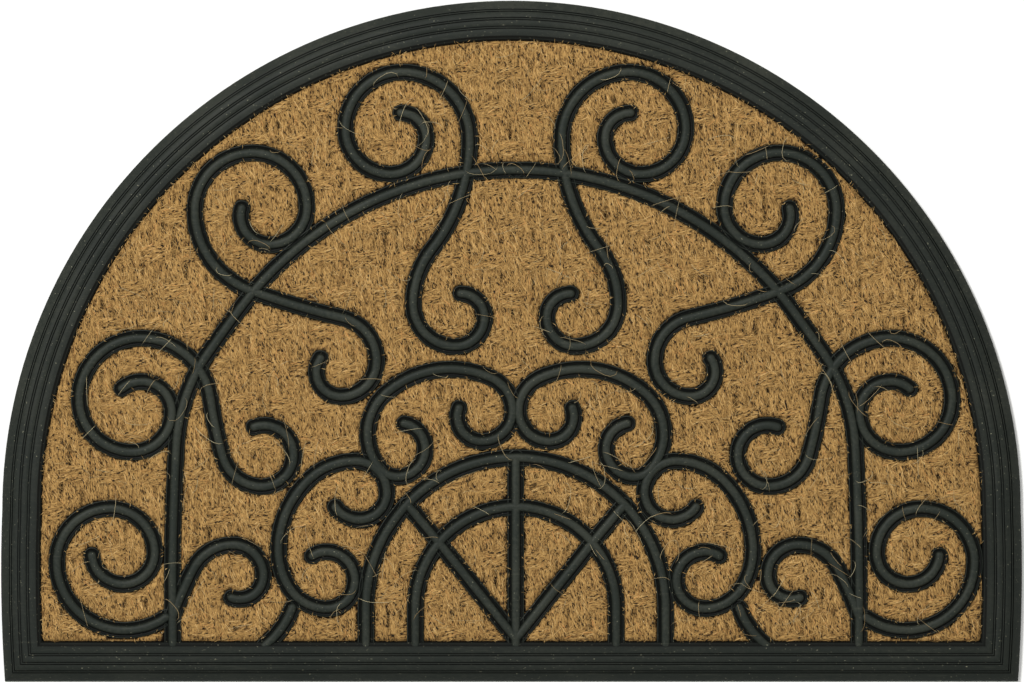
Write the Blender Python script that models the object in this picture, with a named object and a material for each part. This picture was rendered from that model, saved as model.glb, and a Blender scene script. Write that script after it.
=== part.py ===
"""Half-round doormat: a woven coir sheet held in a one-piece rubber moulding.

The moulding has a thin base, a stepped border and a net of scroll ribs that
presses the coir down. Metres, +Z up. The shapes are drawn with y = 0 on the
straight edge, and each object is then moved by half the depth, so that the
origin is at the middle of the underside. +Y points to the top of the dome.
"""
import math

import bmesh
import bpy

# Overall size. The sides bow out a little above the bottom corners.
MAT_WIDTH = 0.600
MAT_DEPTH = 0.400
DOME_RADIUS = 0.2993
DOME_Y = MAT_DEPTH - DOME_RADIUS
WIDEST_Y = 0.065
SIDE_RADIUS = 0.926
BASE_THICKNESS = 0.002

# Border of the moulding, one row for each edge of its section
BORDER_SECTION = [
    {"inset": 0.0000, "height": 0.0000},
    {"inset": 0.0000, "height": 0.0035},
    {"inset": 0.0050, "height": 0.0070},
    {"inset": 0.0085, "height": 0.0090},
    {"inset": 0.0205, "height": 0.0090},
    {"inset": 0.0235, "height": 0.0065},
    {"inset": 0.0235, "height": BASE_THICKNESS},
]
BORDER_WIDTH = BORDER_SECTION[-1]["inset"]

# Scroll ribs: a flat foot that narrows to a bead
RIB_FOOT_WIDTH = 0.0100
RIB_BEAD_WIDTH = 0.0052
RIB_UNDERSIDE = 0.0050
RIB_CREST = 0.0088

# Coir sheet, and the space it keeps from the rubber
COIR_TOP = 0.0090
CLEARANCE = 0.0003

# How finely round stretches are cut
CHORD_SAG = 0.0003
DOME_STEPS = 48
SIDE_STEPS = 3
TIP_STEPS = 4

# A groove's cutter reaches this far above the coir
CUTTER_REACH = 0.002

# The net of ribs is drawn about an axis a little right of the mat's middle
RIB_AXIS = 0.0025

# Each scroll is drawn with a compass: it starts at a tip, heads off at an angle
# in degrees, and runs through arcs that join smoothly, most of them quarter
# turns. A positive turn is to the left. The table draws the right side, and the
# left side is its mirror image.
SCROLLS = {
    "big_arch": {
        "start": (0.2015, 0.0215), "heading": 89,
        "arcs": [
            {"radius": 1.6750, "turn": 4},
            {"radius": 0.1050, "turn": 32},
            {"radius": 1.7000, "turn": 1},
            {"radius": 0.2020, "turn": 54},
        ],
    },
    "top_scroll": {
        "start": (0.0675, 0.3340), "heading": 180,
        "arcs": [
            {"radius": 0.0150, "turn": 90},
            {"radius": 0.0210, "turn": 90},
            {"radius": 0.0265, "turn": 90},
            {"radius": 0.0335, "turn": 90},
            {"radius": 0.0395, "turn": 90},
            {"radius": 0.1050, "turn": 38},
            {"radius": 0.0520, "turn": -38},
            {"radius": 0.0250, "turn": -90},
            {"radius": 0.0170, "turn": -90},
            {"radius": 0.0140, "turn": -90},
        ],
    },
    "shoulder_scroll": {
        "start": (0.1610, 0.2780), "heading": -75,
        "arcs": [
            {"radius": 0.0170, "turn": -105},
            {"radius": 0.0220, "turn": -90},
            {"radius": 0.0320, "turn": -90},
            {"radius": 0.0340, "turn": -90},
            {"radius": 0.0500, "turn": -70},
            {"radius": 0.4600, "turn": -7},
            {"radius": 0.0260, "turn": 77},
            {"radius": 0.0210, "turn": 90},
            {"radius": 0.0145, "turn": 90},
            {"radius": 0.0140, "turn": 35},
        ],
    },
    "side_scroll": {
        "start": (0.2315, 0.1720), "heading": 140,
        "arcs": [
            {"radius": 0.0180, "turn": 130},
            {"radius": 0.0235, "turn": 90},
            {"radius": 0.0310, "turn": 90},
            {"radius": 0.0360, "turn": 90},
            {"radius": 0.0415, "turn": 82},
            {"radius": 0.2500, "turn": -8},
            {"radius": 0.0240, "turn": -74},
            {"radius": 0.0185, "turn": -90},
            {"radius": 0.0175, "turn": -90},
            {"radius": 0.0170, "turn": -20},
        ],
    },
    "corner_scroll": {
        "start": (0.2490, 0.0740), "heading": -95,
        "arcs": [
            {"radius": 0.0185, "turn": -175},
            {"radius": 0.0260, "turn": -90},
            {"radius": 0.0315, "turn": -90},
            {"radius": 0.0400, "turn": -90},
            {"radius": 0.0420, "turn": -35},
        ],
    },
    "leg_scroll": {
        "start": (0.2020, 0.0370), "heading": 110,
        "arcs": [
            {"radius": 0.2600, "turn": 7},
            {"radius": 0.0260, "turn": 63},
            {"radius": 0.0180, "turn": 90},
            {"radius": 0.0140, "turn": 110},
        ],
    },
    "fan_scroll": {
        "start": (0.1060, 0.1025), "heading": -125,
        "arcs": [
            {"radius": 0.0175, "turn": -55},
            {"radius": 0.0160, "turn": -90},
            {"radius": 0.0185, "turn": -90},
            {"radius": 0.0400, "turn": -45},
            {"radius": 0.0580, "turn": -45},
            {"radius": 0.0400, "turn": -35},
            {"radius": 0.0260, "turn": -55},
            {"radius": 0.0165, "turn": -90},
            {"radius": 0.0170, "turn": -90},
            {"radius": 0.0140, "turn": -35},
        ],
    },
    "fan_scroll_foot": {
        "start": (0.1475, 0.0210), "heading": 142,
        "arcs": [
            {"radius": 0.0500, "turn": -32},
        ],
    },
    "crown_scroll": {
        "start": (0.0655, 0.1515), "heading": 190,
        "arcs": [
            {"radius": 0.0150, "turn": 80},
            {"radius": 0.0165, "turn": 90},
            {"radius": 0.0130, "turn": 50},
            {"radius": 0.0320, "turn": 90},
            {"radius": 0.0580, "turn": 65},
            {"radius": 0.0210, "turn": 65},
            {"radius": 0.0180, "turn": 90},
            {"radius": 0.0145, "turn": 110},
        ],
    },
}

# Fan at the bottom middle: two round arches on straight legs, and spokes
FAN_CENTRE_Y = 0.0435
FAN_FOOT_Y = 0.020
FAN_OUTER_RADIUS = 0.088
FAN_INNER_RADIUS = 0.059
SPOKE_FOOT = (0.0, 0.025)
SPOKE_KNEE = (0.0445, 0.081)
SPOKE_END = (0.0630, 0.103)

RUBBER = {"name": "rubber", "colour": (0.035, 0.040, 0.035), "roughness": 0.62}
COIR = {"name": "coir", "colour": (0.29, 0.17, 0.06), "roughness": 0.95}


def clear_scene():
    for old in list(bpy.data.objects):
        bpy.data.objects.remove(old, do_unlink=True)


def make_material(look):
    material = bpy.data.materials.new(look["name"])
    material.use_nodes = True
    shader = material.node_tree.nodes["Principled BSDF"]
    shader.inputs["Base Color"].default_value = (*look["colour"], 1.0)
    shader.inputs["Roughness"].default_value = look["roughness"]
    shader.inputs["Metallic"].default_value = 0.0
    return material


def outline(inset):
    """The mat's edge moved inwards, anticlockwise from the bottom right corner."""
    side_centre_x = MAT_WIDTH / 2 - SIDE_RADIUS
    side_reach = SIDE_RADIUS - inset
    lowest = -math.asin((WIDEST_Y - inset) / side_reach)
    highest = math.asin((DOME_Y - WIDEST_Y) / SIDE_RADIUS)
    right = []
    for step in range(SIDE_STEPS):
        angle = lowest + (highest - lowest) * step / SIDE_STEPS
        right.append((side_centre_x + side_reach * math.cos(angle), WIDEST_Y + side_reach * math.sin(angle)))
    dome_reach = DOME_RADIUS - inset
    dome = []
    for step in range(DOME_STEPS + 1):
        angle = math.pi * step / DOME_STEPS
        dome.append((dome_reach * math.cos(angle), DOME_Y + dome_reach * math.sin(angle)))
    left = [(-x, y) for x, y in reversed(right)]
    return right + dome + left


def walk_arcs(start, heading, arcs):
    """Points along arcs that join smoothly, close enough for the chord sag."""
    x, y = start
    angle = math.radians(heading)
    points = [(x, y)]
    for arc in arcs:
        turn = math.radians(arc["turn"])
        radius = math.copysign(arc["radius"], turn)
        widest_step = 2 * math.acos(1 - CHORD_SAG / arc["radius"])
        steps = max(1, math.ceil(abs(turn) / widest_step))
        centre_x = x - radius * math.sin(angle)
        centre_y = y + radius * math.cos(angle)
        for step in range(1, steps + 1):
            way = angle + turn * step / steps
            points.append((centre_x + radius * math.sin(way), centre_y - radius * math.cos(way)))
        x, y = points[-1]
        angle += turn
    return points


def arch_on_legs(radius):
    steps = math.ceil(math.pi / (2 * math.acos(1 - CHORD_SAG / radius)))
    points = [(radius, FAN_FOOT_Y)]
    for step in range(steps + 1):
        angle = math.pi * step / steps
        points.append((radius * math.cos(angle), FAN_CENTRE_Y + radius * math.sin(angle)))
    points.append((-radius, FAN_FOOT_Y))
    return points


def placed(line, side):
    direction = -1 if side == "left" else 1
    return [(RIB_AXIS + direction * x, y) for x, y in line]


def rib_lines():
    """Each rib's middle line, by name, in the mat's own coordinates."""
    lines = {}
    for name, scroll in SCROLLS.items():
        half = walk_arcs(scroll["start"], scroll["heading"], scroll["arcs"])
        if name == "big_arch":
            leg = [(x, y) for x, y in half if x > CHORD_SAG]
            whole = leg + [(0.0, half[-1][1])] + [(-x, y) for x, y in reversed(leg)]
            lines[name] = placed(whole, "right")
        else:
            for side in ("left", "right"):
                lines[name + "_" + side] = placed(half, side)
    spoke = [SPOKE_FOOT, SPOKE_KNEE, SPOKE_END]
    lines["fan_outer_arch"] = placed(arch_on_legs(FAN_OUTER_RADIUS), "right")
    lines["fan_inner_arch"] = placed(arch_on_legs(FAN_INNER_RADIUS), "right")
    lines["middle_spoke"] = placed([(0.0, FAN_FOOT_Y), (0.0, FAN_CENTRE_Y + FAN_OUTER_RADIUS)], "right")
    lines["right_spoke"] = placed(spoke, "right")
    lines["left_spoke"] = placed(spoke, "left")
    return lines


def round_end(tip, normal, half_width):
    start = math.atan2(normal[1], normal[0])
    angles = [start - math.pi * step / TIP_STEPS for step in range(1, TIP_STEPS)]
    return [(tip[0] + half_width * math.cos(a), tip[1] + half_width * math.sin(a)) for a in angles]


def edges_of_line(line, half_width):
    """The left and right edges of a bar along a line, and its two round ends."""
    left = []
    right = []
    normals = []
    for i, (x, y) in enumerate(line):
        before = line[max(i - 1, 0)]
        after = line[min(i + 1, len(line) - 1)]
        length = math.dist(before, after)
        normal = ((before[1] - after[1]) / length, (after[0] - before[0]) / length)
        left.append((x + normal[0] * half_width, y + normal[1] * half_width))
        right.append((x - normal[0] * half_width, y - normal[1] * half_width))
        normals.append(normal)
    far_end = round_end(line[-1], normals[-1], half_width)
    near_end = round_end(line[0], (-normals[0][0], -normals[0][1]), half_width)
    return left, right, far_end, near_end


def bar_along_line(name, line, low, high):
    """A closed bar along a line, from its low section to its high section."""
    mesh = bmesh.new()
    loops = []
    for section in (low, high):
        edges = edges_of_line(line, section["width"] / 2)
        corners = [[mesh.verts.new((x, y, section["height"])) for x, y in part] for part in edges]
        left, right, far_end, near_end = corners
        for i in range(len(line) - 1):
            mesh.faces.new([right[i], right[i + 1], left[i + 1], left[i]])
        mesh.faces.new([left[-1], right[-1]] + far_end[::-1])
        mesh.faces.new([right[0], left[0]] + near_end[::-1])
        loops.append(right + far_end[::-1] + left[::-1] + near_end[::-1])
    join_loops(mesh, loops)
    bmesh.ops.recalc_face_normals(mesh, faces=mesh.faces)
    return new_object(name, mesh)


def join_loops(mesh, loops):
    count = len(loops[0])
    for lower, upper in zip(loops, loops[1:]):
        for i in range(count):
            j = (i + 1) % count
            mesh.faces.new([lower[i], lower[j], upper[j], upper[i]])


def new_object(name, mesh):
    data = bpy.data.meshes.new(name)
    mesh.to_mesh(data)
    mesh.free()
    made = bpy.data.objects.new(name, data)
    made.location.y = -MAT_DEPTH / 2
    bpy.context.scene.collection.objects.link(made)
    return made


def tray():
    """The moulding's base and border, with a loop of the outline for each row."""
    mesh = bmesh.new()
    loops = []
    for row in BORDER_SECTION:
        loops.append([mesh.verts.new((x, y, row["height"])) for x, y in outline(row["inset"])])
    join_loops(mesh, loops)
    mesh.faces.new(loops[0][::-1])
    mesh.faces.new(loops[-1])
    return new_object("rubber_moulding", mesh)


def coir_slab():
    mesh = bmesh.new()
    underside = BASE_THICKNESS + CLEARANCE
    edge = outline(BORDER_WIDTH + CLEARANCE)
    bottom = mesh.faces.new([mesh.verts.new((x, y, underside)) for x, y in edge])
    rise = bmesh.ops.extrude_face_region(mesh, geom=[bottom])
    lifted = [v for v in rise["geom"] if isinstance(v, bmesh.types.BMVert)]
    bmesh.ops.translate(mesh, verts=lifted, vec=(0, 0, COIR_TOP - underside))
    bmesh.ops.recalc_face_normals(mesh, faces=mesh.faces)
    return new_object("coir_sheet", mesh)


def add_boolean(target, operation, tools, name):
    group = bpy.data.collections.new(name)
    bpy.context.scene.collection.children.link(group)
    for tool in tools:
        bpy.context.scene.collection.objects.unlink(tool)
        group.objects.link(tool)
        tool.hide_render = True
        tool.display_type = "WIRE"
    modifier = target.modifiers.new(name, "BOOLEAN")
    modifier.operation = operation
    modifier.operand_type = "COLLECTION"
    modifier.collection = group
    modifier.solver = "EXACT"


def build_moulding(lines):
    foot = {"width": RIB_FOOT_WIDTH, "height": RIB_UNDERSIDE}
    bead = {"width": RIB_BEAD_WIDTH, "height": RIB_CREST}
    moulding = tray()
    ribs = [bar_along_line("rib_" + name, line, foot, bead) for name, line in lines.items()]
    add_boolean(moulding, "UNION", ribs, "ribs")
    moulding.data.materials.append(make_material(RUBBER))


def build_coir(lines):
    width = RIB_FOOT_WIDTH + 2 * CLEARANCE
    floor = {"width": width, "height": RIB_UNDERSIDE - CLEARANCE}
    mouth = {"width": width, "height": COIR_TOP + CUTTER_REACH}
    coir = coir_slab()
    grooves = [bar_along_line("groove_" + name, line, floor, mouth) for name, line in lines.items()]
    add_boolean(coir, "DIFFERENCE", grooves, "grooves")
    coir.data.materials.append(make_material(COIR))


clear_scene()
rib_middle_lines = rib_lines()
build_moulding(rib_middle_lines)
build_coir(rib_middle_lines)
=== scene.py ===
# Half-round doormat: a woven coir cloth pressed into a moulded rubber surround with scroll ribs
import math

import bmesh
import bpy
import numpy as np
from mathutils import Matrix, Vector, kdtree, noise


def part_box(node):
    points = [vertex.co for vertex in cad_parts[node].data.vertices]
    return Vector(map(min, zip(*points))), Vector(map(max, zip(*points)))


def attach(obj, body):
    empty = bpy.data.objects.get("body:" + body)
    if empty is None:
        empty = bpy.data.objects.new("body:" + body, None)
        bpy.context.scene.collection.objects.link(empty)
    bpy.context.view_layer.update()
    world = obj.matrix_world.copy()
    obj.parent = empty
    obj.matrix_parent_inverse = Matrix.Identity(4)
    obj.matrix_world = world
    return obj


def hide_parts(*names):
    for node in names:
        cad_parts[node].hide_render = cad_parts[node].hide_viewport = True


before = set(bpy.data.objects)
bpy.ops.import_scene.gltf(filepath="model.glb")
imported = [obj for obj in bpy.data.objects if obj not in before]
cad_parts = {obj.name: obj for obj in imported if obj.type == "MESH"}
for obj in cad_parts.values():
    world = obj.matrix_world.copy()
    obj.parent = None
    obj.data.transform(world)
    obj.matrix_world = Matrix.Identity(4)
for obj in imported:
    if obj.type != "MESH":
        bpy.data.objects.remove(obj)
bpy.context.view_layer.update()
mouldLow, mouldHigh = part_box("rubber_moulding")
clothLow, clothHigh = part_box("coir_sheet")
bottomEdge = mouldLow.y  # tables below measure y up from here, the straight edge
mm = 0.001

# The mat's outline: a dome on two sides that bow out a little
mat = {
    "halfWidth": mouldHigh.x,
    "domeRadius": 0.2993,
    "widestY": 0.065,
    "sideRadius": 0.926,
    "domeSteps": 120,
    "sideSteps": 8,
}
domeY = mouldHigh.y - mouldLow.y - mat["domeRadius"]
sideX = mat["halfWidth"] - mat["sideRadius"]


def outline(inset):
    # the edge moved inwards, anticlockwise from the bottom right corner
    reach = mat["sideRadius"] - inset
    lowest = -math.asin((mat["widestY"] - inset) / reach)
    highest = math.asin((domeY - mat["widestY"]) / mat["sideRadius"])
    right = []
    for step in range(mat["sideSteps"]):
        angle = lowest + (highest - lowest) * step / mat["sideSteps"]
        right.append((sideX + reach * math.cos(angle), mat["widestY"] + reach * math.sin(angle)))
    dome = []
    for step in range(mat["domeSteps"] + 1):
        angle = math.pi * step / mat["domeSteps"]
        around = mat["domeRadius"] - inset
        dome.append((around * math.cos(angle), domeY + around * math.sin(angle)))
    left = [(-x, y) for x, y in reversed(right)]
    return [(x, y + bottomEdge) for x, y in right + dome + left]


def insetOf(x, y):
    # how far inside the mat's edge each point lies
    up = y - bottomEdge
    side = mat["sideRadius"] - np.hypot(np.abs(x) - sideX, up - mat["widestY"])
    dome = mat["domeRadius"] - np.hypot(x, up - domeY)
    return np.minimum(up, np.where(up > domeY, dome, side))


def addPiece(name, data, material, node):
    data.materials.append(material)
    piece = bpy.data.objects.new(name, data)
    bpy.context.scene.collection.objects.link(piece)
    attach(piece, "root")
    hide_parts(node)
    return piece


def finishPiece(name, mesh, material, node, sharpest):
    # a built mesh as a smooth piece, with sharp edges above an angle in degrees
    data = bpy.data.meshes.new(name)
    mesh.to_mesh(data)
    mesh.free()
    data.shade_smooth()
    data.set_sharp_from_angle(angle=math.radians(sharpest))
    return addPiece(name, data, material, node)


def ofKind(parts, kind):
    return [part for part in parts if isinstance(part, kind)]


# Shader maths: expressions on signals add Math nodes
class Signal:
    def __init__(self, graph, socket):
        self.graph = graph
        self.socket = socket

    def __add__(self, other):
        return self.graph.math("ADD", self, other)

    def __rsub__(self, other):
        return self.graph.math("SUBTRACT", other, self)

    def __mul__(self, other):
        return self.graph.math("MULTIPLY", self, other)


class Graph:
    def __init__(self, name, **fixed):
        self.material = bpy.data.materials.new(name)
        self.material.use_nodes = True
        self.tree = self.material.node_tree
        self.shader = self.tree.nodes["Principled BSDF"]
        for socket, value in fixed.items():
            self.shader.inputs[socket.replace("_", " ")].default_value = value

    def add(self, kind, settings, inputs, output=0):
        made = self.tree.nodes.new("ShaderNode" + kind)
        for key, value in settings.items():
            if key == "stops":
                self.setStops(made.color_ramp, value)
            else:
                setattr(made, key, value)
        for key, value in inputs.items():
            if isinstance(value, Signal):
                self.tree.links.new(value.socket, made.inputs[key])
            else:
                made.inputs[key].default_value = value
        return Signal(self, made.outputs[output])

    def setStops(self, ramp, stops):
        ramp.elements.remove(ramp.elements[-1])
        for i, (place, colour) in enumerate(stops):
            stop = ramp.elements[0] if i == 0 else ramp.elements.new(place)
            stop.position = place
            stop.color = (*colour, 1)

    def math(self, operation, a, b):
        return self.add("Math", {"operation": operation}, {0: a, 1: b})

    def mix(self, factor, a, b):
        return self.add("Mix", {"data_type": "RGBA"}, {0: factor, 6: a, 7: b}, 2)

    def ramp(self, factor, stops):
        return self.add("ValToRGB", {"stops": stops}, {0: factor})

    def between(self, value, low, high):
        # 0 below low, 1 above high, smooth between them
        settings = {"interpolation_type": "SMOOTHSTEP"}
        return self.add("MapRange", settings, {"Value": value, "From Min": low, "From Max": high})

    def noise(self, place, scale, detail, rough):
        inputs = {"Vector": place, "Scale": scale, "Detail": detail, "Roughness": rough}
        return self.add("TexNoise", {}, inputs)

    def stretched(self, place, turn, scale):
        # the place turned about Z, then scaled
        return self.add("Mapping", {}, {0: place, 2: (0, 0, math.radians(turn)), 3: scale})

    def place(self):
        return self.add("TexCoord", {}, {}, 3)

    def acrossMap(self):
        # a place's distance across the piece's own map, where the fibres keep their tone
        spot = self.add("UVMap", {"uv_map": "UVMap"}, {})
        return self.add("SeparateXYZ", {}, {0: spot}, 0)

    def feed(self, socket, signal):
        self.tree.links.new(signal.socket, self.shader.inputs[socket])

    def bump(self, height, distance, strength):
        made = self.add("Bump", {}, {"Height": height, "Distance": distance, "Strength": strength})
        self.feed("Normal", made)


def tone(red, green, blue):
    # a colour read off a screen, 0 to 255, as the linear values that sockets take
    def linear(value):
        share = value / 255
        return share / 12.92 if share <= 0.04045 else ((share + 0.055) / 1.055) ** 2.4

    return (linear(red), linear(green), linear(blue))


# Rubber
rubber = {
    # the near-black tone that painted shade darkens the rubber to
    "paintedShadow": tone(8, 10, 8),
    "plain": tone(29, 34, 29),
    "dusty": tone(60, 62, 53),
    "speck": tone(150, 148, 124),
    "roughness": (0.42, 0.66),
    # a flat darkening of the border between its grooves and slope, given through the shade
    "borderShade": 0.3,
}


def makeRubber(name):
    # "shade" and "dust" are painted on the mesh: "shade" is painted shade in the border's grooves, down its
    # inner slope and down the ribs' sides, plus a flat darkening over the rest of the border; "dust" is how
    # worn
    graph = Graph(name, Specular_IOR_Level=0.13)
    place = graph.place()
    shade = graph.add("Attribute", {"attribute_name": "shade"}, {}, 2)
    dust = graph.add("Attribute", {"attribute_name": "dust"}, {}, 2)
    cloudy = graph.noise(place, 24, 4, 0.6)
    fine = graph.noise(place, 460, 3, 0.65)
    scuffs = graph.noise(graph.stretched(place, 35, (50, 700, 50)), 1, 3, 0.7)
    specks = graph.between(graph.noise(place, 950, 2, 0.5), 0.7, 0.75)
    patches = graph.between(cloudy * 0.55 + fine * 0.45, 0.42, 0.62)
    colour = graph.mix(patches * 0.35 * (1 - shade), (*rubber["plain"], 1), (*rubber["dusty"], 1))
    colour = graph.mix(dust * (patches * 0.7 + 0.3), colour, (*rubber["dusty"], 1))
    colour = graph.mix(graph.between(scuffs, 0.58, 0.76) * 0.5, colour, (*rubber["dusty"], 1))
    # painted shade: the rubber goes to the shadow tone as far as the mesh's shade says
    colour = graph.mix(shade, colour, (*rubber["paintedShadow"], 1))
    colour = graph.mix(specks * 0.55, colour, (*rubber["speck"], 1))
    graph.feed("Base Color", colour)
    low, high = rubber["roughness"]
    graph.feed("Roughness", fine * (high - low) + low + dust * 0.15)
    graph.bump(fine * 0.6 + cloudy, 0.0003, 0.5)
    return graph.material


# Coir
coir = {
    "fibreTones": [
        # the darkest tones are the painted shadow of the dark slivers
        (0.0, tone(22, 14, 8)),
        (0.04, tone(46, 30, 16)),
        (0.08, tone(92, 66, 34)),
        (0.3, tone(150, 116, 66)),
        (0.6, tone(184, 148, 90)),
        (0.8, tone(200, 164, 103)),
        (0.94, tone(220, 188, 130)),
        (1.0, tone(204, 142, 76)),
    ],
    "strayTone": tone(206, 196, 158),
    # the near-black tone of the painted shade in the cloth's low places and dark specks
    "shadowTone": tone(22, 14, 7),
    # a shaded and a lit tone of the sheet, the ends of its painted light and shade
    "deep": tone(92, 66, 35),
    "lit": tone(164, 129, 76),
}


def makeCloth():
    graph = Graph("coir_weave", Roughness=0.95, Specular_IOR_Level=0.15)
    place = graph.place()
    onWeft = graph.add("Attribute", {"attribute_name": "onWeft"}, {}, 2)
    along = graph.noise(graph.stretched(place, -24, (1700, 300, 500)), 1, 3, 0.65)
    across = graph.noise(graph.stretched(place, -17, (300, 1700, 500)), 1, 3, 0.65)
    streaks = along * (1 - onWeft) + across * onWeft
    # dark specks of painted shadow, for the shaded gaps between fibres
    shadowSpecks = graph.between(graph.noise(graph.stretched(place, -8, (1500, 520, 500)), 1, 2, 0.6), 0.6, 0.67)
    height = graph.add("SeparateXYZ", {}, {0: place}, 2)
    # painted shade: the cloth darkens to the shadow tone where it lies low, in the gaps between yarns and
    # where ribs and border press it down
    lift = graph.between(height, 0.0048, 0.0066)
    # the streaks run between the shaded and the lit tone: streaky fibre tone with painted light and shade
    # in it
    lit = graph.mix(graph.between(streaks, 0.38, 0.6), (*coir["deep"], 1), (*coir["lit"], 1))
    colour = graph.mix(lift, (*coir["shadowTone"], 1), lit)
    colour = graph.mix(shadowSpecks * 0.85, colour, (*coir["shadowTone"], 1))
    graph.feed("Base Color", colour)
    graph.bump(streaks, 0.0006, 0.8)
    return graph.material


def makeFibres():
    graph = Graph("coir_fibres", Roughness=0.8, Specular_IOR_Level=0.25)
    graph.feed("Base Color", graph.ramp(graph.acrossMap(), coir["fibreTones"]))
    return graph.material


def makeStrays():
    graph = Graph("pale_strays", Roughness=0.7, Specular_IOR_Level=0.3)
    colour = graph.mix(graph.acrossMap(), (*coir["lit"], 1), (*coir["strayTone"], 1))
    graph.feed("Base Color", colour)
    return graph.material


rubberLook = makeRubber("moulded_rubber")
clothLook = makeCloth()
fibreLook = makeFibres()
strayLook = makeStrays()
print("materials made")

# Surround: a thin base and a border of bands with pairs of fine grooves between them.
# The rises are rows of inset and height, and every groove is cut into that line.
surround = {
    "edgeTop": (0.0, 3.3),
    "rise": [(0.0, 3.5), (4.6, 6.9), (6.7, 8.2), (8.6, 8.95), (20.3, 9.0)],
    "grooves": [5.05, 6.25, 10.0, 11.2, 15.1, 16.3],
    "grooveHalf": 0.3,
    "grooveFloorHalf": 0.16,
    "grooveDepth": 0.85,
    "grooveLip": 0.14,
    "crowns": [0.35, 2.3, 4.2, 8.1, 13.2, 18.4],
    "crownRise": 0.08,
    "inner": [
        (20.5, 8.95),
        (20.9, 8.6),
        (21.8, 7.7),
        (22.1, 7.55),
        (22.5, 7.2),
        (23.2, 6.6),
        (23.45, 6.2),
    ],
    # painted shade down the inner slope, eased on its narrow step to leave a thin lighter line
    "slopeShade": [(20.5, 0.5), (20.9, 1.0), (21.8, 0.95), (22.1, 0.45), (22.5, 1.0), (23.5, 1.0)],
    "outerBand": 4.6,
    "slope": 20.4,
    "wall": 23.5,
    "wallDrop": 0.1,
    "baseTop": 2.0,
    "waver": 0.06,
    "waverScale": 45,
    "waverAbove": 3.0,
    "dustScale": 14,
    "dustSwing": 0.5,
    "dustLevel": 0.45,
    "dustFade": 0.12,
    "dustStart": 0.9,
    "innerDust": 0.45,
}


def surroundRows():
    # the border's section from the outer edge inwards, as rows of inset and height
    insets, heights = zip(*surround["rise"])
    half = surround["grooveHalf"]
    side = [
        (half + surround["grooveLip"], 0.0),
        (half, surround["crownRise"]),
        (surround["grooveFloorHalf"], surround["grooveDepth"]),
    ]
    groove = [(-off, drop) for off, drop in side] + side[::-1]
    rows = []
    for middle in surround["grooves"]:
        for off, drop in groove:
            inset = middle + off
            rows.append((inset, float(np.interp(inset, insets, heights)) - drop))
    for inset in surround["crowns"]:
        rows.append((inset, float(np.interp(inset, insets, heights)) + surround["crownRise"]))
    rows.sort()
    return [surround["edgeTop"]] + rows + surround["inner"]


def ringAt(mesh, inset, height):
    verts = [mesh.verts.new((x, y, height * mm)) for x, y in outline(inset * mm)]
    return [mesh.edges.new(pair) for pair in zip(verts, verts[1:] + verts[:1])]


def grooveShade(inset):
    # the painted shade at a place across the border: full on a groove's floor, as the table gives down the
    # inner slope, and elsewhere the flat darkening
    nearest = min(abs(inset - middle) for middle in surround["grooves"])
    if nearest < surround["grooveFloorHalf"] + 0.01:
        return 1.0
    if inset > surround["slope"]:
        return float(np.interp(inset, *zip(*surround["slopeShade"])))
    return rubber["borderShade"]


def dustAt(place, inset):
    # patchy dust on the upper part of the border, most of it on the outer band
    worn = noise.noise(place * surround["dustScale"]) * surround["dustSwing"] + surround["dustLevel"]
    upper = (place.y - bottomEdge) / surround["dustFade"] - surround["dustStart"]
    share = 1.0 if inset < surround["outerBand"] else surround["innerDust"]
    return worn * min(1.0, max(0.0, upper)) * share


def buildSurround():
    mesh = bmesh.new()
    shade = mesh.verts.layers.float.new("shade")
    dust = mesh.verts.layers.float.new("dust")
    wall = surround["wall"]
    wallTop = surround["inner"][-1][1] - surround["wallDrop"]
    rows = surroundRows() + [(wall, wallTop), (wall, surround["baseTop"])]
    rings = [ringAt(mesh, 0.0, 0.0)]
    for inset, height in rows:
        rings.append(ringAt(mesh, inset, height))
        bmesh.ops.bridge_loops(mesh, edges=rings[-2] + rings[-1])
        for edge in rings[-1]:
            for vert in edge.verts:
                vert[shade] = grooveShade(inset)
                vert[dust] = dustAt(vert.co, inset)
    bmesh.ops.edgeloop_fill(mesh, edges=rings[0])
    bmesh.ops.edgeloop_fill(mesh, edges=rings[-1])
    for vert in mesh.verts:
        if vert.co.z > surround["waverAbove"] * mm:
            vert.co.z += surround["waver"] * mm * noise.noise(vert.co * surround["waverScale"])
    bmesh.ops.recalc_face_normals(mesh, faces=mesh.faces)
    return finishPiece("rubber_surround", mesh, rubberLook, "rubber_moulding", 30)


buildSurround()
print("surround made")

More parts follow.
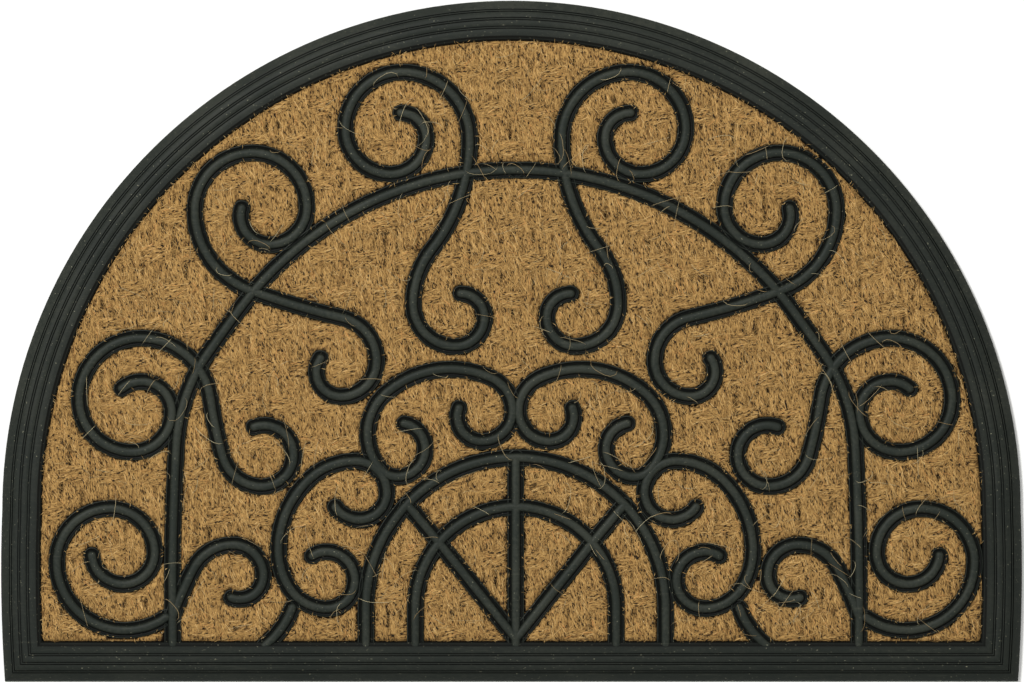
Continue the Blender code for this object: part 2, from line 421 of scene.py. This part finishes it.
# Scroll ribs, drawn with a compass: each runs from its tip through arcs, a radius and a turn in
# degrees, left turns positive. The left side is the right side's mirror image about the axis.
ribs = {
    # off the middle, height, painted shade: none on the crest, dark down the sides and on the flange, less
    # on its lip
    "profile": [
        (0.0, 8.8, 0.0),
        (1.2, 8.68, 0.0),
        (2.0, 8.2, 0.1),
        (2.55, 7.1, 0.75),
        (3.1, 6.1, 1.0),
        (3.9, 6.3, 1.0),
        (4.35, 6.95, 0.35),
        (4.75, 6.85, 0.35),
        (5.0, 6.2, 0.9),
    ],
    "underside": 5.0,
    "sag": 0.03,
    "tipSteps": 8,
    "straightParts": 40,
    "waver": 0.22,
    "waverScale": 300,
    "waverOnTop": 0.3,
    "topAbove": 0.0085,
    "topFade": 0.0015,
}
up = Vector((0, 0, 1))
ribAxis = 2.5
scrolls = [
    {"start": (201.5, 21.5, 89), "arcs": [(1675, 4), (105, 32), (1700, 1), (202, 54)]},
    {"start": (67.5, 334, 180), "arcs": [
        (15, 90), (21, 90), (26.5, 90), (33.5, 90), (39.5, 90), (105, 38), (52, -38), (25, -90),
        (17, -90), (14, -90)]},
    {"start": (161, 278, -75), "arcs": [
        (17, -105), (22, -90), (32, -90), (34, -90), (50, -70), (460, -7), (26, 77), (21, 90),
        (14.5, 90), (14, 35)]},
    {"start": (231.5, 172, 140), "arcs": [
        (18, 130), (23.5, 90), (31, 90), (36, 90), (41.5, 82), (250, -8), (24, -74), (18.5, -90),
        (17.5, -90), (17, -20)]},
    {"start": (249, 74, -95), "arcs": [(18.5, -175), (26, -90), (31.5, -90), (40, -90), (42, -35)]},
    {"start": (202, 37, 110), "arcs": [(260, 7), (26, 63), (18, 90), (14, 110)]},
    {"start": (106, 102.5, -125), "arcs": [
        (17.5, -55), (16, -90), (18.5, -90), (40, -45), (58, -45), (40, -35), (26, -55),
        (16.5, -90), (17, -90), (14, -35)]},
    {"start": (147.5, 21, 142), "arcs": [(50, -32)]},
    {"start": (65.5, 151.5, 190), "arcs": [
        (15, 80), (16.5, 90), (13, 50), (32, 90), (58, 65), (21, 65), (18, 90), (14.5, 110)]},
]
fan = {
    "foot": 20.0,
    "centre": 43.5,
    "radii": (88, 59),
    "spoke": [(0, 25), (44.5, 81), (63, 103)],
    "spokeBend": 30,
}


def spokeSteps(points):
    # a heading, then straight lengths with a slight bend between them
    pairs = list(zip(points, points[1:]))
    headings = [math.degrees(math.atan2(b[1] - a[1], b[0] - a[0])) for a, b in pairs]
    lengths = [math.dist(a, b) for a, b in pairs]
    steps = [(0, lengths[0])]
    for before, after, length in zip(headings, headings[1:], lengths[1:]):
        steps += [(fan["spokeBend"], after - before), (0, length)]
    return headings[0], steps


def ribPaths():
    # every rib as a start, a heading and steps: a length ahead, or a radius and a turn
    paths = []
    heading, spoke = spokeSteps(fan["spoke"])
    mirrored = [(scroll["start"], scroll["arcs"]) for scroll in scrolls]
    mirrored.append(((*fan["spoke"][0], heading), spoke))
    for (x, y, heading), arcs in mirrored:
        paths.append(((ribAxis + x, y), heading, arcs))
        steps = [(radius, amount if radius == 0 else -amount) for radius, amount in arcs]
        paths.append(((ribAxis - x, y), 180 - heading, steps))
    leg = fan["centre"] - fan["foot"]
    for radius in fan["radii"]:
        steps = [(0, leg), (radius, 180), (0, leg)]
        paths.append(((ribAxis + radius, fan["foot"]), 90, steps))
    paths.append(((ribAxis, fan["foot"]), 90, [(0, leg + fan["radii"][0])]))
    return paths


def sectionAt(mesh, centre, left, rightHalfOnly=False):
    # a rib's section as a loop of edges, crest to underside, around its middle
    shade = mesh.verts.layers.float["shade"]
    low = ribs["underside"]
    rows = ribs["profile"] + [(ribs["profile"][-1][0], low, 1.0), (0.0, low, 1.0)]
    right = [(-off, height, deep) for off, height, deep in rows]
    whole = right if rightHalfOnly else right + rows[-2:0:-1]
    verts = []
    for off, height, deep in whole:
        verts.append(mesh.verts.new(centre + left * off * mm + Vector((0, 0, height * mm))))
        verts[-1][shade] = deep
    beside = verts[1:] if rightHalfOnly else verts[1:] + verts[:1]
    return verts + [mesh.edges.new(pair) for pair in zip(verts, beside)]


def roundTip(mesh, spot, left, turn):
    half = sectionAt(mesh, spot, left, True)
    bmesh.ops.spin(mesh, geom=half, cent=spot, axis=up, angle=turn, steps=ribs["tipSteps"])


def pushSection(mesh, geom, move):
    # the last section carried straight ahead, and the section at the far end
    made = bmesh.ops.extrude_edge_only(mesh, edges=ofKind(geom, bmesh.types.BMEdge))["geom"]
    verts = ofKind(made, bmesh.types.BMVert)
    bmesh.ops.translate(mesh, verts=verts, vec=move)
    moved = set(verts)
    return verts + [edge for edge in ofKind(made, bmesh.types.BMEdge) if moved.issuperset(edge.verts)]


def buildRib(start, heading, steps):
    # one rib as a closed mesh of its own, and points along its middle
    mesh = bmesh.new()
    mesh.verts.layers.float.new("shade")
    spot = Vector((start[0] * mm, start[1] * mm + bottomEdge, 0))
    angle = math.radians(heading)
    ahead = Vector((math.cos(angle), math.sin(angle), 0))
    left = up.cross(ahead)
    roundTip(mesh, spot, left, -math.pi)
    geom = sectionAt(mesh, spot, left)
    line = [spot.copy()]
    for radius, amount in steps:
        if radius == 0:
            geom = pushSection(mesh, geom, ahead * amount * mm)
            parts = ribs["straightParts"]
            line += [spot + ahead * amount * mm * k / parts for k in range(1, parts + 1)]
            spot = line[-1].copy()
            continue
        turn = math.radians(amount)
        reach = radius * mm * (1 if turn > 0 else -1)
        count = max(1, math.ceil(abs(turn) / (2 * math.acos(1 - ribs["sag"] / radius))))
        centre = spot + left * reach
        geom = bmesh.ops.spin(mesh, geom=geom, cent=centre, axis=up, angle=turn, steps=count)["geom_last"]
        parts = max(2, math.ceil(abs(turn) * radius))
        for k in range(1, parts + 1):
            way = angle + turn * k / parts
            line.append(centre + reach * Vector((math.sin(way), -math.cos(way), 0)))
        spot = line[-1].copy()
        angle += turn
        ahead = Vector((math.cos(angle), math.sin(angle), 0))
        left = up.cross(ahead)
    roundTip(mesh, spot, left, math.pi)
    bmesh.ops.remove_doubles(mesh, verts=mesh.verts, dist=0.00001)
    bmesh.ops.recalc_face_normals(mesh, faces=mesh.faces)
    return mesh, line


def buildRibs():
    whole = bmesh.new()
    line = []
    scratch = bpy.data.meshes.new("rib")
    for start, heading, steps in ribPaths():
        mesh, middle = buildRib(start, heading, steps)
        mesh.to_mesh(scratch)
        mesh.free()
        whole.from_mesh(scratch)
        line += middle
    bpy.data.meshes.remove(scratch)
    elsewhere = Vector((9, 9, 9))
    for vert in whole.verts:
        soft = min(1.0, max(0.0, (ribs["topAbove"] - vert.co.z) / ribs["topFade"]))
        place = vert.co * ribs["waverScale"]
        sway = Vector((noise.noise(place), noise.noise(place + elsewhere), 0))
        vert.co += sway * ribs["waver"] * mm * (ribs["waverOnTop"] + soft)
    whole.verts.layers.float.new("dust")  # the ribs stay clean: their rubber reads 0 here
    finishPiece("scroll_ribs", whole, rubberLook, "rubber_moulding", 50)
    return line


ribLine = buildRibs()
ribTree = kdtree.KDTree(len(ribLine))
for number, spot in enumerate(ribLine):
    ribTree.insert((spot.x, spot.y, 0), number)
ribTree.balance()


def ribGap(x, y):
    # how far each point lies from the nearest rib's middle
    return np.array([ribTree.find((a, b, 0))[2] for a, b in zip(x, y)])


print("ribs made")

# Coir cloth: a plain weave of paired yarns, in mm. The weft shows as short floats in rows.
weave = {
    "start": (0.0, 269.0),
    "columnPitch": 12.4,
    "rowPitch": 22.0,
    "columnLean": 0.012,
    "rowLean": 0.024,
    "weftShare": 0.24,
    "middle": 7.75,
    "swing": 0.55,
    "sharpness": 1.3,
    "warpRound": 1.9,
    "weftRound": 1.7,
    "flatness": 0.95,
    "partFrom": 0.72,
    "partOver": 0.28,
    "partDepth": 2.2,
    "partShy": 0.35,
    "fluff": 0.28,
    "underRib": 4.6,
    "ribEdge": 5.4,
    "lipHeight": 6.3,
    "softenOver": 4.5,
    "softenPower": 0.6,
    "borderEdge": 23.8,
    "gridStep": 1.7,
    "underside": 2.3,
}

# Layers of soft noise, each an amount, a size in mm and a seed
waver = {
    "across": [(0.9, 31, 1), (0.35, 9, 2)],
    "down": [(1.3, 27, 3), (0.5, 8, 4)],
    "part": [(2.5, 4.2, 5)],
    "fluff": [(1, 2.6, 6), (0.7, 6, 7)],
    "fibreTone": [(0.04, 7, 11)],
    "plies": [(1.6, 11, 21), (0.5, 4, 22)],
    "ragged": [(0.55, 1.9, 31)],
}
noiseCells = 97
noiseShift = 500  # keeps the cells' numbers above zero


def softNoise(x, y, size, seed):
    # smooth random values from -1 to 1
    table = np.random.RandomState(seed).uniform(-1, 1, (noiseCells, noiseCells))
    u = x / (size * mm) + noiseShift
    v = y / (size * mm) + noiseShift
    i = np.floor(u).astype(int)
    j = np.floor(v).astype(int)
    a = u - i
    b = v - j
    a = a * a * (3 - 2 * a)
    b = b * b * (3 - 2 * b)
    nextI = (i + 1) % noiseCells
    nextJ = (j + 1) % noiseCells
    i = i % noiseCells
    j = j % noiseCells
    lower = table[i, j] * (1 - a) + table[nextI, j] * a
    upper = table[i, nextJ] * (1 - a) + table[nextI, nextJ] * a
    return lower * (1 - b) + upper * b


def wavered(start, x, y, layers):
    for amount, size, seed in layers:
        start = start + amount * softNoise(x, y, size, seed)
    return start


def roundTop(side):
    return np.sqrt(np.clip(1 - (weave["flatness"] * side) ** 2, 0, 1)) - 1


def swingOver(turns):
    # 1 where a yarn lies on top and -1 where it dips under, flat at both ends
    return np.clip(weave["sharpness"] * np.cos(math.pi * turns), -1, 1)


def weaveAt(x, y):
    # the cloth's height before it is pressed down, whether weft shows, and how deep a gap is there
    startX, startY = weave["start"]
    acrossMm = wavered(x / mm, x, y, waver["across"])
    downMm = wavered(startY - (y - bottomEdge) / mm, x, y, waver["down"])
    column = (acrossMm - startX - weave["columnLean"] * downMm) / weave["columnPitch"]
    row = (downMm - weave["rowLean"] * acrossMm) / weave["rowPitch"]
    pair = np.floor(column + 0.5)
    yarn = (column + 0.5) * 2
    side = 2 * (yarn - np.floor(yarn)) - 1
    over = swingOver(row + pair + 1)
    warp = weave["middle"] + weave["swing"] * over + weave["warpRound"] * roundTop(side)
    nearestRow = np.floor(row + 0.5)
    share = (row - nearestRow) / weave["weftShare"]
    weftSide = 2 * np.abs(share) - 1
    overWeft = swingOver(column + nearestRow)
    weft = weave["middle"] + weave["swing"] * overWeft + weave["weftRound"] * roundTop(weftSide)
    weft = np.where(np.abs(share) < 1, weft, 0)
    onWeft = weft > warp
    gap = np.clip((np.abs(side) - weave["partFrom"]) / weave["partOver"], 0, 1) * ~onWeft
    gap = gap * np.clip(wavered(0, x, y, waver["part"]) - weave["partShy"], 0, 1)
    height = np.maximum(warp, weft) - weave["partDepth"] * gap
    height += weave["fluff"] * wavered(0, x, y, waver["fluff"])
    return height, onWeft, gap


def clothHeight(x, y):
    # the cloth's height once the ribs and the border hold it down
    height, onWeft, gap = weaveAt(x, y)
    ragged = wavered(0, x, y, waver["ragged"])
    fromRib = ribGap(x, y) / mm + ragged
    fromBorder = insetOf(x, y) / mm - weave["borderEdge"] + ragged
    near = np.minimum(fromRib - weave["ribEdge"], fromBorder)
    free = np.clip(near / weave["softenOver"], 0, 1) ** weave["softenPower"]
    height = weave["lipHeight"] + (height - weave["lipHeight"]) * free
    height = np.where(fromRib < weave["ribEdge"], weave["underRib"], height)
    return height * mm, onWeft, gap, fromRib


def buildCloth():
    step = weave["gridStep"] * mm
    wide = clothHigh.x - clothLow.x
    deep = clothHigh.y - clothLow.y
    mesh = bmesh.new()
    columns = round(wide / step) + 2
    rows = round(deep / step) + 2
    bmesh.ops.create_grid(mesh, x_segments=columns, y_segments=rows, size=0.5)
    bmesh.ops.scale(mesh, vec=(columns * step, rows * step, 1), verts=mesh.verts)
    bmesh.ops.translate(mesh, vec=(0, (clothLow.y + clothHigh.y) / 2, 0), verts=mesh.verts)
    x, y, _ = np.array([vert.co for vert in mesh.verts]).T
    inside = insetOf(x, y) - weave["borderEdge"] * mm
    outer = [vert for vert, depth in zip(mesh.verts, inside) if depth < -0.3 * step]
    bmesh.ops.delete(mesh, geom=outer, context="VERTS")
    fitEdge(mesh)
    x, y, _ = np.array([vert.co for vert in mesh.verts]).T
    height, onWeft, _, _ = clothHeight(x, y)
    layer = mesh.verts.layers.float.new("onWeft")
    for vert, z, weft in zip(mesh.verts, height, onWeft):
        vert.co.z = z
        vert[layer] = float(weft)
    rim = [edge for edge in mesh.edges if edge.is_boundary]
    wall = bmesh.ops.extrude_edge_only(mesh, edges=rim)["geom"]
    for vert in ofKind(wall, bmesh.types.BMVert):
        vert.co.z = weave["underside"] * mm
    bmesh.ops.edgeloop_fill(mesh, edges=ofKind(wall, bmesh.types.BMEdge))
    bmesh.ops.recalc_face_normals(mesh, faces=mesh.faces)
    flat = mesh.loops.layers.uv.new("UVMap")
    for face in mesh.faces:
        for loop in face.loops:
            spot = loop.vert.co
            loop[flat].uv = ((spot.x - clothLow.x) / wide, (spot.y - clothLow.y) / wide)
    return finishPiece("coir_cloth", mesh, clothLook, "coir_sheet", 180)


def fitEdge(mesh):
    # the rim's points move out or in to the cloth's true edge
    loose = [vert for vert in mesh.verts if not vert.link_faces]
    bmesh.ops.delete(mesh, geom=loose, context="VERTS")
    rim = [vert for vert in mesh.verts if vert.is_boundary]
    step = 1e-5
    for _ in range(4):
        x, y, _ = np.array([vert.co for vert in rim]).T
        off = insetOf(x, y) - weave["borderEdge"] * mm
        alongX = (insetOf(x + step, y) - insetOf(x - step, y)) / (2 * step)
        alongY = (insetOf(x, y + step) - insetOf(x, y - step)) / (2 * step)
        for vert, move, a, b in zip(rim, off, alongX, alongY):
            vert.co.x -= move * a
            vert.co.y -= move * b


cloth = buildCloth()
print("cloth made")

# Loose fibres, laid along the yarns' twist, with some that cross it
fibres = {
    "pieces": 4,
    "count": 13800,
    "length": (6.0, 10.0, 18.0),
    "thick": (0.26, 0.45),
    "fuzzThick": (0.17, 0.29),
    "warpLean": 114,
    "weftLean": 17,
    "spread": 13,
    "fuzzShare": 0.28,
    "bend": 0.3,
    "fuzzBend": 0.9,
    "lift": 0.12,
    "fuzzLift": 0.6,
    "sunk": 0.35,
    "steps": 4,
    "fromBorder": 0.5,
    "fromRib": 0.2,
    "deepestGap": 0.5,
    "pastBorder": 1.5,
    "tone": 0.82,
    "dullest": 0.6,
    "dullPower": 2.2,
    "creaseShade": 0.34,
    "fuzzTone": 0.07,
    "toneSpread": 0.14,
    "toneRange": (0.09, 0.99),
}

# The two plies of each yarn: ridges that run along the twist
plies = {"warpPitch": 3.1, "weftPitch": 2.7, "depth": 0.75}


def plyDip(x, y, onWeft):
    # 0 on top of a ply and 1 in the crease beside it
    warpTurn = math.radians(fibres["warpLean"] - 90)
    weftTurn = math.radians(fibres["weftLean"] + 90)
    sway = wavered(0, x, y, waver["plies"])
    warp = (x * math.cos(warpTurn) + y * math.sin(warpTurn)) / (plies["warpPitch"] * mm) + sway
    weft = (x * math.cos(weftTurn) + y * math.sin(weftTurn)) / (plies["weftPitch"] * mm) + sway
    phase = np.where(onWeft, weft, warp)
    off = np.abs(phase - np.floor(phase) - 0.5) * 2
    return off ** 3


def tubesFromPoints(name, points, thick, tones, material):
    # one three-sided tube for each row of points, pointed at both ends, all in one mesh
    count, steps, _ = points.shape
    rings = steps - 2
    ahead = points[:, 2:] - points[:, :-2]
    ahead /= np.linalg.norm(ahead, axis=2, keepdims=True)
    side = np.cross(ahead, [0.0, 0.0, 1.0])
    side /= np.linalg.norm(side, axis=2, keepdims=True) + 1e-9
    over = np.cross(side, ahead)
    verts = np.zeros((count, 2 + 3 * rings, 3))
    verts[:, 0] = points[:, 0]
    verts[:, -1] = points[:, -1]
    for corner in range(3):
        turn = math.radians(90 + 120 * corner)
        off = (side * math.cos(turn) + over * math.sin(turn)) * thick[:, None, None] / 2
        verts[:, 1 + corner:-1:3] = points[:, 1:-1] + off
    first = (np.arange(count) * (2 + 3 * rings))[:, None]
    corners = []
    for corner in range(3):
        beside = (corner + 1) % 3
        corners.append([0, 1 + beside, 1 + corner])
        for ring in range(rings - 1):
            low = 1 + 3 * ring
            corners.append([low + corner, low + beside, low + 3 + beside, low + 3 + corner])
        low = 1 + 3 * (rings - 1)
        corners.append([low + corner, low + beside, 1 + 3 * rings])
    sizes = [len(face) for face in corners]
    pattern = np.concatenate(corners)
    loops = (first + pattern[None, :]).ravel()
    data = bpy.data.meshes.new(name)
    data.vertices.add(count * (2 + 3 * rings))
    data.vertices.foreach_set("co", verts.ravel())
    data.loops.add(len(loops))
    data.loops.foreach_set("vertex_index", loops)
    data.polygons.add(count * len(corners))
    starts = np.concatenate([[0], np.cumsum(sizes)[:-1]])
    starts = np.arange(count)[:, None] * len(pattern) + starts
    data.polygons.foreach_set("loop_start", starts.ravel())
    data.update(calc_edges=True)
    along = np.concatenate([[0], np.repeat(np.arange(1, rings + 1), 3), [rings + 1]]) / (rings + 1)
    across = np.concatenate([[0], np.tile([-1, 0, 1], rings), [0]]) * 0.004
    layer = data.uv_layers.new(name="UVMap")
    spots = np.zeros((count, len(pattern), 2))
    spots[:, :, 0] = tones[:, None] + across[pattern]
    spots[:, :, 1] = 0.02 + 0.96 * along[pattern]
    layer.data.foreach_set("uv", spots.ravel())
    data.shade_smooth()
    return addPiece(name, data, material, "coir_sheet")


def fibreCentres(draw, count):
    # random places on the open coir, away from ribs, border and gaps between yarns
    x = draw.uniform(clothLow.x, clothHigh.x, count * 2)
    y = draw.uniform(clothLow.y, clothHigh.y, count * 2)
    near = insetOf(x, y) > (weave["borderEdge"] + fibres["fromBorder"]) * mm
    x, y = x[near], y[near]
    _, onWeft, gap, fromRib = clothHeight(x, y)
    shallow = draw.uniform(0, fibres["deepestGap"], len(x)) > gap
    keep = (fromRib > weave["ribEdge"] + fibres["fromRib"]) & shallow
    return x[keep][:count], y[keep][:count], onWeft[keep][:count]


def drawEither(draw, first, oneRange, otherRange):
    # random values from one range where first is true and from the other elsewhere
    count = len(first)
    return np.where(first, draw.uniform(*oneRange, count), draw.uniform(*otherRange, count))


def curvedPaths(x, y, angle, bend, length, steps):
    # bent lines around their middles, as rows of x and rows of y
    share = np.linspace(-0.5, 0.5, steps)
    way = angle[:, None] + bend[:, None] * share * 2
    stride = length[:, None] / (steps - 1)
    goX = np.cos((way[:, 1:] + way[:, :-1]) / 2) * stride
    goY = np.sin((way[:, 1:] + way[:, :-1]) / 2) * stride
    pathX = np.concatenate([np.zeros((len(x), 1)), np.cumsum(goX, 1)], 1)
    pathY = np.concatenate([np.zeros((len(y), 1)), np.cumsum(goY, 1)], 1)
    pathX += (x - pathX.mean(1))[:, None]
    pathY += (y - pathY.mean(1))[:, None]
    return pathX, pathY


def buildFibres(number):
    draw = np.random.RandomState(100 + number)
    x, y, onWeft = fibreCentres(draw, fibres["count"])
    count = len(x)
    length = draw.triangular(*fibres["length"], count) * mm
    lean = np.where(onWeft, fibres["weftLean"], fibres["warpLean"])
    angle = np.radians(lean + draw.normal(0, fibres["spread"], count))
    fuzzy = draw.uniform(0, 1, count) < fibres["fuzzShare"]
    angle = np.where(fuzzy, draw.uniform(0, math.pi, count), angle)
    bend = draw.normal(0, 1, count) * np.where(fuzzy, fibres["fuzzBend"], fibres["bend"])
    steps = fibres["steps"]
    pathX, pathY = curvedPaths(x, y, angle, bend, length, steps)
    height, weftThere, _, fromRib = clothHeight(pathX.ravel(), pathY.ravel())
    dip = plyDip(pathX.ravel(), pathY.ravel(), weftThere)
    height = height - plies["depth"] * mm * dip * (fromRib > weave["ribEdge"])
    height = height.reshape(count, steps)
    dip = dip.reshape(count, steps)[:, 1:-1].mean(1)
    spare = np.where(fuzzy, draw.uniform(0, fibres["fuzzLift"], count), 0)
    lift = np.abs(draw.normal(0, fibres["lift"], count)) + spare
    height = height + np.sin(np.linspace(0, math.pi, steps)) * (lift * mm)[:, None]
    height[:, [0, -1]] -= fibres["sunk"] * mm
    keep = (insetOf(pathX, pathY) > (weave["borderEdge"] - fibres["pastBorder"]) * mm).all(1)
    points = np.stack([pathX, pathY, height], 2)[keep]
    thick = drawEither(draw, fuzzy, fibres["fuzzThick"], fibres["thick"])[keep] * mm
    dullAndShaded = fibres["dullest"] * draw.uniform(0, 1, count) ** fibres["dullPower"]
    # painted shade: a fibre darkens as far as it lies in a ply's crease, on top of its own random dullness
    dullAndShaded = dullAndShaded + fibres["creaseShade"] * dip
    tones = fibres["tone"] - dullAndShaded + fibres["fuzzTone"] * fuzzy
    tones = tones + draw.normal(0, fibres["toneSpread"], count)
    tones = np.clip(wavered(tones, x, y, waver["fibreTone"]), *fibres["toneRange"])
    return tubesFromPoints(f"coir_fibres_{number}", points, thick, tones[keep], fibreLook)


fibrePieces = [buildFibres(number) for number in range(1, fibres["pieces"] + 1)]

# Short bits: dark slivers of painted shadow where yarns part and in the plies' creases, and fibres that
# fray over the rubber's edges
bits = {
    "tries": 110000,
    "partShare": 0.75,
    "openShare": 0.85,
    "rimShare": 0.42,
    "ribRim": (4.3, 5.7),
    "borderRim": (22.6, 24.2),
    "darkLength": (1.0, 2.8),
    "rimLength": (2.2, 4.6),
    "darkThick": (0.5, 0.85),
    "rimThick": (0.24, 0.42),
    "darkTone": (0.0, 0.03),
    "rimTone": (0.25, 0.95),
    "partFrom": 0.04,
    "warpLean": 108,
    "spread": 12,
    "bend": 0.25,
    "steps": 3,
    "darkLift": 0.62,
    "rimLift": 0.22,
}


def rubberTop(fromRib, inset):
    # the height of the rubber under each place, 0 where there is none
    offs, beads, _ = zip(*ribs["profile"])
    insets, slopes = zip(*surround["inner"])
    onRib = np.interp(fromRib, offs, beads, right=0)
    return np.maximum(onRib, np.interp(inset, insets, slopes, right=0))


def buildBits():
    draw = np.random.RandomState(55)
    x = draw.uniform(clothLow.x, clothHigh.x, bits["tries"])
    y = draw.uniform(clothLow.y, clothHigh.y, bits["tries"])
    near = insetOf(x, y) > bits["borderRim"][0] * mm
    x, y = x[near], y[near]
    inset = insetOf(x, y) / mm
    _, onWeft, gap, fromRib = clothHeight(x, y)
    lot = draw.uniform(0, 1, len(x))
    clear = (fromRib > bits["ribRim"][1]) & (inset > bits["borderRim"][1])
    crease = bits["openShare"] * plyDip(x, y, onWeft)
    # the dark slivers are painted shadow: near-black bits laid in the gaps between yarns and in ply creases
    paintedShadow = clear & (lot < np.where(gap > bits["partFrom"], bits["partShare"], crease))
    rim = (fromRib > bits["ribRim"][0]) & ~clear & (lot < bits["rimShare"])
    pick = paintedShadow | rim
    x, y, onWeft, paintedShadow = x[pick], y[pick], onWeft[pick], paintedShadow[pick]
    count = len(x)
    lean = np.where(onWeft, fibres["weftLean"], bits["warpLean"])
    lean = lean + draw.normal(0, bits["spread"], count)
    angle = np.radians(np.where(paintedShadow, lean, draw.uniform(0, 180, count)))
    length = drawEither(draw, paintedShadow, bits["darkLength"], bits["rimLength"]) * mm
    thick = drawEither(draw, paintedShadow, bits["darkThick"], bits["rimThick"]) * mm
    tones = drawEither(draw, paintedShadow, bits["darkTone"], bits["rimTone"])
    steps = bits["steps"]
    pathX, pathY = curvedPaths(x, y, angle, draw.normal(0, bits["bend"], count), length, steps)
    height, _, _, fromRib = clothHeight(pathX.ravel(), pathY.ravel())
    over = rubberTop(fromRib, insetOf(pathX.ravel(), pathY.ravel()) / mm) * mm
    height = np.maximum(height, over).reshape(count, steps)
    height += np.where(paintedShadow, bits["darkLift"], bits["rimLift"])[:, None] * mm
    height[:, [0, -1]] -= fibres["sunk"] * mm
    points = np.stack([pathX, pathY, height], 2)
    return tubesFromPoints("coir_bits", points, thick, tones, fibreLook)


fibrePieces.append(buildBits())
print("fibres made")

# Long pale fibres that lie over the ribs and on the open coir
strays = {
    "overRibs": 140,
    "aroundRib": 0.006,
    "onCoir": 320,
    "fromBorder": 1,
    "length": (8.0, 28.0),
    "thick": (0.14, 0.24),
    "tone": (0.15, 0.95),
    "steps": 8,
    "bend": 1.1,
    "lift": (0.1, 0.7),
    "ribReach": 5.6,
    "ribSlope": 2.4,
    "ribFoot": 6.6,
    "ribRise": 2.3,
}


def buildStrays():
    draw = np.random.RandomState(7)
    spots = np.array([(spot.x, spot.y) for spot in ribLine])
    picked = spots[draw.randint(0, len(spots), strays["overRibs"])]
    picked = picked + draw.normal(0, strays["aroundRib"], picked.shape)
    openX, openY, _ = fibreCentres(draw, strays["onCoir"])
    picked = np.concatenate([picked, np.stack([openX, openY], 1)])
    count = len(picked)
    angle = draw.uniform(0, 2 * math.pi, count)
    length = draw.uniform(*strays["length"], count) * mm
    bend = draw.normal(0, strays["bend"], count)
    steps = strays["steps"]
    share = np.linspace(-0.5, 0.5, steps)
    way = angle[:, None] + bend[:, None] * share * np.abs(share) * 4
    pathX = picked[:, :1] + np.cumsum(np.cos(way), 1) * length[:, None] / steps
    pathY = picked[:, 1:] + np.cumsum(np.sin(way), 1) * length[:, None] / steps
    height, _, _, fromRib = clothHeight(pathX.ravel(), pathY.ravel())
    onRib = np.clip((strays["ribReach"] - fromRib) / strays["ribSlope"], 0, 1)
    overRib = (strays["ribFoot"] + strays["ribRise"] * onRib) * mm
    height = np.maximum(height, overRib * (fromRib < strays["ribReach"]))
    height = height.reshape(count, steps)
    taut = np.maximum(height, (height[:, :1] + height[:, -1:]) / 2)
    rise = np.sin(np.linspace(0, math.pi, steps)) * draw.uniform(*strays["lift"], (count, 1)) * mm
    height = taut * 0.5 + height * 0.5 + rise
    keep = (insetOf(pathX, pathY) > (weave["borderEdge"] + strays["fromBorder"]) * mm).all(1)
    points = np.stack([pathX, pathY, height], 2)[keep]
    thick = draw.uniform(*strays["thick"], count)[keep] * mm
    tones = draw.uniform(*strays["tone"], count)[keep]
    return tubesFromPoints("stray_fibres", points, thick, tones, strayLook)


strayPiece = buildStrays()
print("loose fibres made")

# Floor, light and camera
studio = {
    "floor": 12.0,
    "floorTone": (0.86, 0.86, 0.85),
    "world": 0.8,
    "worldTone": (1.0, 1.0, 0.98),
    "key": 48,
    "keySize": 0.6,
    "keyAt": (-0.8, 1.0, 2.1),
}
# "seen" is the width in view at the height "above" the floor
camera = {"lens": 400, "sensor": 36, "seen": 0.6018, "above": 0.0035, "offX": 0.0003, "offY": 0.0}


def buildStudio():
    mesh = bmesh.new()
    bmesh.ops.create_grid(mesh, x_segments=1, y_segments=1, size=studio["floor"])
    data = bpy.data.meshes.new("floor")
    mesh.to_mesh(data)
    mesh.free()
    pale = (*studio["floorTone"], 1)
    graph = Graph("pale_floor", Roughness=0.9, Base_Color=pale, Specular_IOR_Level=0.1)
    data.materials.append(graph.material)
    floor = bpy.data.objects.new("floor", data)
    bpy.context.scene.collection.objects.link(floor)
    world = bpy.data.worlds.new("studio")
    world.use_nodes = True
    backdrop = world.node_tree.nodes["Background"].inputs
    backdrop["Color"].default_value = (*studio["worldTone"], 1)
    backdrop["Strength"].default_value = studio["world"]
    bpy.context.scene.world = world
    lamp = bpy.data.lights.new("key", "AREA")
    lamp.energy = studio["key"]
    lamp.size = studio["keySize"]
    key = bpy.data.objects.new("key", lamp)
    key.location = studio["keyAt"]
    key.rotation_euler = (-Vector(studio["keyAt"])).to_track_quat("-Z", "Y").to_euler()
    bpy.context.scene.collection.objects.link(key)


def buildCamera():
    lens = bpy.data.cameras.new("camera")
    lens.lens = camera["lens"]
    lens.sensor_width = camera["sensor"]
    viewer = bpy.data.objects.new("camera", lens)
    height = camera["seen"] * camera["lens"] / camera["sensor"] + camera["above"]
    viewer.location = (camera["offX"], camera["offY"], height)
    bpy.context.scene.collection.objects.link(viewer)
    bpy.context.scene.camera = viewer


buildStudio()
buildCamera()
bpy.context.scene.view_settings.view_transform = "Standard"
print("studio made")
